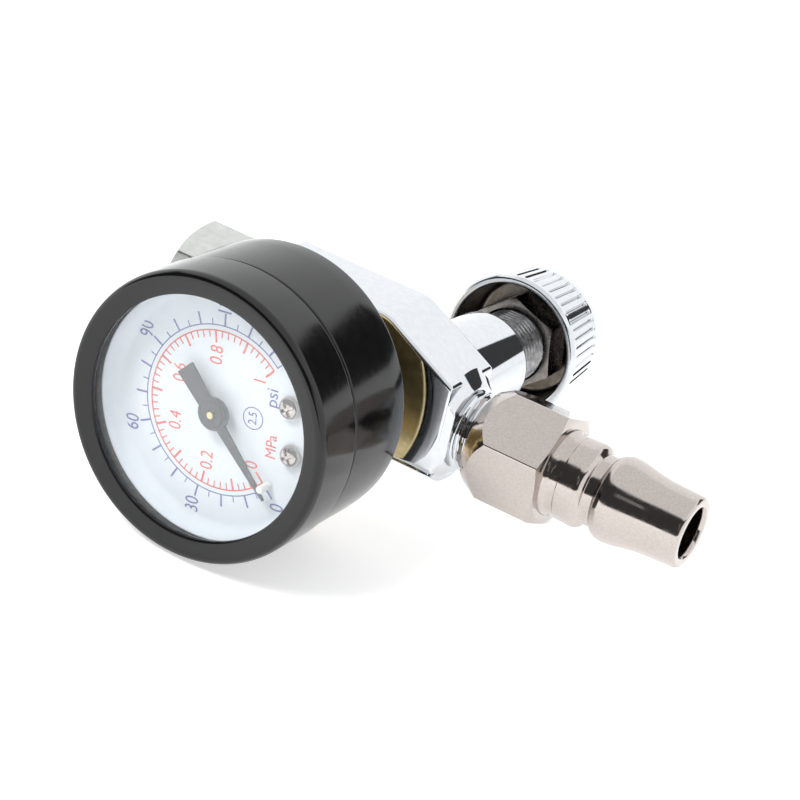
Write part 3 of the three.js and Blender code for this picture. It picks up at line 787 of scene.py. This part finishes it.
def swung(outline, turn):
    """An outline in X and Z turned about its origin by an angle in degrees."""
    c, s = math.cos(math.radians(turn)), math.sin(math.radians(turn))
    return [(x * c - z * s, x * s + z * c) for x, z in outline]


def rectangle(length, width, turn):
    """The corners of a rectangle about its centre, turned by an angle in degrees."""
    x, z = length / 2, width / 2
    return swung([(x, z), (-x, z), (-x, -z), (x, -z)], turn)


def build_stop_pin():
    """The sleeved pin that the pointer rests against at zero."""
    place = (middle("stop_pin") - ORIGIN) / MM
    radius, front, rear = 0.6, -30.9, DIAL_FRONT - 0.3
    profile = rounded([(0, front), (radius, front, 0.15), (radius, rear, 0.05), (0, rear)], 0.1)
    dress(turned("pin_sleeve", profile, "Y", (place.x, place.z), 40), SLEEVE, "housing", "sleeve", "stop_pin")


def build_pointer():
    """The pointer's blade, drawn along +X and swung to the stop, and its two-tier hub."""
    front, rear = POINTER_Y - 0.22, POINTER_Y + 0.22
    outline = [(-8.1, -1.55), (-8.1, 1.55), (-2.6, 1.3), (0, 0.95), (10.8, 0.42), (14.8, 0.12), (14.8, -0.12),
               (10.8, -0.42), (0, -0.95), (-2.6, -1.3)]
    outline = swung(rounded(outline, 0.15, 3, closed=True), REST_ANGLE)
    blade = prism("blade", outline, "Y", front, rear, DIAL_CENTRE)
    hub = rounded([(0.6, POINTER_Y - 0.5), (1.9, POINTER_Y - 0.5, 0.2), (2.05, POINTER_Y - 0.3, 0.1),
                   (2.55, POINTER_Y - 0.28, 0.12), (2.6, POINTER_Y + 0.5, 0.1), (0.6, POINTER_Y + 0.5)], 0.1)
    piece = join("pointer_blade", [blade, turned("hub", hub, "Y", DIAL_CENTRE, 96)])
    dress(piece, POINTER_PAINT, "pointer", "pointer_paint", "pointer")


def finish_cad_nodes():
    """Pieces inside, and seals, keep their CAD shape and get their real surface."""
    looks = {
        RUBBER: ("bonnet_seal", "piston_seal", "plug_seal", "nipple_seal", "lens_gasket"),
        WIRE: ("poppet_spring", "regulating_spring"),
        GREY_STEEL: ("spring_seat", "knob_pin", "link"),
        BRASS: ("valve_seat", "poppet", "piston", "pointer_arbor", "movement_front_plate",
                "movement_rear_plate", "movement_pillar_1", "movement_pillar_2", "sector_gear", "hairspring",
                "bourdon_tube", "gauge_stem"),
    }
    for material, names in looks.items():
        for name in names:
            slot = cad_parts[name].material_slots[0]
            slot.link = "OBJECT"
            slot.material = material


# ---- studio ----
def build_floor():
    """A wide pale floor just under the part, a little bright of itself so that shadows stay light."""
    half_size, gap = 6, 0.0005
    made = bmesh.new()
    bmesh.ops.create_grid(made, x_segments=2, y_segments=2, size=half_size)
    bmesh.ops.translate(made, verts=made.verts, vec=(0, 0, CAD_BOUNDS[0][2] - gap))
    mesh = bpy.data.meshes.new("floor")
    made.to_mesh(mesh)
    made.free()
    floor = new_object("floor", mesh)
    cloth = matt("pale_floor", (0.70, 0.70, 0.70), (0.72, 0.72, 0.72), (0.7, 0.8), (0.02, 0.01), 300)
    shader = cloth.node_tree.nodes["Principled BSDF"]
    shader.inputs["Emission Color"].default_value = (1, 1, 1, 1)
    shader.inputs["Emission Strength"].default_value = 0.55
    mesh.materials.append(cloth)


# Radiances of the room's walls, its ceiling, its dark parts and the dim panels in them.
BRIGHT, CEILING, DARK, DIM = 1.35, 1.1, 0.06, 0.3


def direction(turn, height):
    """A direction in the studio: a turn from +Y towards +X and a height above the horizon, in degrees."""
    turn, height = math.radians(turn), math.radians(height)
    return Vector((math.sin(turn) * math.cos(height), math.cos(turn) * math.cos(height), math.sin(height)))


def dot_product(tree, place, axis):
    node = tree.nodes.new("ShaderNodeVectorMath")
    node.operation = "DOT_PRODUCT"
    node.inputs[1].default_value = axis
    tree.links.new(place, node.inputs[0])
    return node.outputs["Value"]


def maths(tree, operation, *sources):
    node = tree.nodes.new("ShaderNodeMath")
    node.operation = operation
    for source, target in zip(sources, node.inputs):
        tree.links.new(source, target)
    return node.outputs[0]


def step_down(tree, source, place, soft):
    """One below a value and nothing above it, with a soft edge."""
    node = tree.nodes.new("ShaderNodeMapRange")
    node.interpolation_type = "SMOOTHSTEP"
    node.inputs["From Min"].default_value = place - soft
    node.inputs["From Max"].default_value = place + soft
    node.inputs["To Min"].default_value = 1
    node.inputs["To Max"].default_value = 0
    tree.links.new(source, node.inputs["Value"])
    return node.outputs["Result"]


def panel(tree, place, turn, height, half_width, half_height, soft):
    """A mask for a soft-edged rectangle of the studio's walls, its half sizes and edge given in degrees."""
    centre = direction(turn, height)
    side = direction(turn + 90, 0)
    mask = step_down(tree, dot_product(tree, place, -centre), 0, 0.01)
    for axis, half in ((side, half_width), (centre.cross(side), half_height)):
        distance = maths(tree, "ABSOLUTE", dot_product(tree, place, axis))
        within = step_down(tree, distance, math.sin(math.radians(half)), math.radians(soft))
        mask = maths(tree, "MULTIPLY", mask, within)
    return mask


def ceiling(tree, place, height, soft):
    """A mask for every direction above a height in degrees."""
    return step_down(tree, dot_product(tree, place, (0, 0, -1)), -math.sin(math.radians(height)), soft)


def build_world():
    """A bright room with a dark opening behind the object and a dark side, with two dim panels, before it."""
    world = bpy.data.worlds.new("studio")
    bpy.context.scene.world = world
    world.use_nodes = True
    tree = world.node_tree
    background = tree.nodes["Background"]
    place = tree.nodes.new("ShaderNodeTexCoord").outputs["Generated"]
    room = tree.nodes.new("ShaderNodeValue")
    room.outputs[0].default_value = BRIGHT
    level = room.outputs[0]
    layers = [
        (ceiling(tree, place, 50, 0.08), CEILING),
        (panel(tree, place, 28.5, 21.5, 14.5, 12.5, 0.8), DARK),
        (panel(tree, place, 195, 22, 62, 31, 3), DARK),
        (panel(tree, place, 176, 34, 7, 4, 0.6), DIM),
        (panel(tree, place, 160, 22, 5, 7, 0.6), DIM),
    ]
    for mask, value in layers:
        node = tree.nodes.new("ShaderNodeMix")
        node.data_type = "FLOAT"
        node.inputs["B"].default_value = value
        tree.links.new(mask, node.inputs["Factor"])
        tree.links.new(level, node.inputs["A"])
        level = node.outputs["Result"]
    tree.links.new(level, background.inputs["Strength"])
    background.inputs["Color"].default_value = (0.985, 0.993, 1, 1)


def area_light(name, place, target, size, power):
    """A soft rectangular lamp aimed at a place, left out of reflections."""
    light = bpy.data.lights.new(name, "AREA")
    light.shape = "RECTANGLE"
    light.size, light.size_y = size
    light.energy = power
    lamp = bpy.data.objects.new(name, light)
    bpy.context.scene.collection.objects.link(lamp)
    lamp.location = place
    lamp.visible_glossy = False
    lamp.rotation_euler = (Vector(target) - Vector(place)).to_track_quat("-Z", "Y").to_euler()


# ---- camera ----
VIEW_TURN = math.radians(25.5)
VIEW_HEIGHT = math.radians(25.0)
VIEW_ROLL = math.radians(13.7)
VIEW_DISTANCE = 0.381
VIEW_LENS = 109.7
VIEW_TARGET = (14.0, 2.4, -1.7)


def build_camera():
    """Looks from the gauge's side, above and towards the plug, rolled as if the part lay tilted."""
    target = at(*VIEW_TARGET)
    forward = Vector((-math.sin(VIEW_TURN) * math.cos(VIEW_HEIGHT),
                      math.cos(VIEW_TURN) * math.cos(VIEW_HEIGHT),
                      -math.sin(VIEW_HEIGHT)))
    level = Vector((math.cos(VIEW_TURN), math.sin(VIEW_TURN), 0))
    rise = level.cross(forward)
    right = level * math.cos(VIEW_ROLL) + rise * math.sin(VIEW_ROLL)
    up = right.cross(forward)
    lens = bpy.data.cameras.new("camera")
    lens.sensor_width = 36
    lens.lens = VIEW_LENS
    lens.clip_start = 0.01
    camera = bpy.data.objects.new("camera", lens)
    bpy.context.scene.collection.objects.link(camera)
    axes = Matrix((right, up, -forward)).transposed().to_4x4()
    camera.matrix_world = Matrix.Translation(target - forward * VIEW_DISTANCE) @ axes
    bpy.context.scene.camera = camera


build_camera()
build_floor()
build_world()
area_light("front_key", (-0.30, -0.62, 0.75), (0.03, -0.03, 0), (0.45, 0.3), 9)
bpy.context.scene.view_settings.view_transform = "Standard"

build_body()
build_bonnet()
build_knob()
build_plug()
build_nut()
build_nipple()
build_gauge_case()
build_back_plate()
build_bezel()
build_lens()
build_dial_plate()
build_dial_print()
build_dial_screws()
build_stop_pin()
build_pointer()
finish_cad_nodes()
